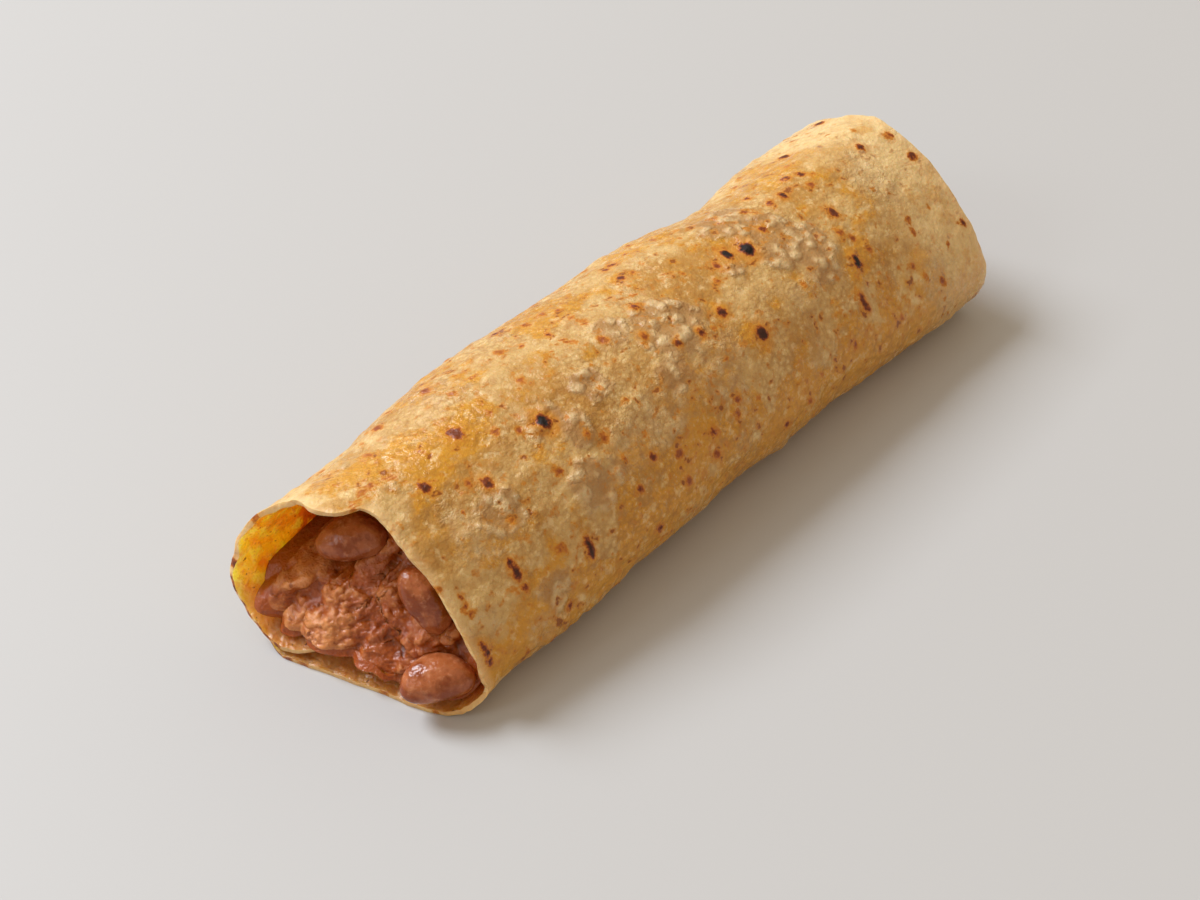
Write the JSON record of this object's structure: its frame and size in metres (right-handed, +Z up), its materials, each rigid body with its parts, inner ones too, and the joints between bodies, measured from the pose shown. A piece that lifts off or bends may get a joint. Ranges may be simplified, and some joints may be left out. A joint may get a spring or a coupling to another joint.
{
  "type": "enchilada",
  "caption": "Soft flour tortilla rolled round a refried bean filling, open at both ends, with whole pinto beans showing in its slanted mouth.",
  "frame": {"origin": "middle of the roll's bounding box at the height of the surface it lies on", "axes": "+X along the roll from the slanted mouth to the square end, +Y to the left side as seen from the mouth's outside, +Z up"},
  "size_m": [0.1898, 0.0636, 0.041],
  "materials": {
    "tortilla": "griddled flour tortilla, oily, with brown toast spots",
    "bean_filling": "wet lumpy refried bean mash",
    "bean": "smooth moist cooked bean skin"
  },
  "bodies": {
    "root": {"tortilla": "tortilla", "bean_filling": "bean_filling", "bean_mouth_low": "bean", "bean_mouth_side": "bean", "bean_mouth_top": "bean", "bean_end_low": "bean", "bean_end_top": "bean"}
  },
  "joints": []
}
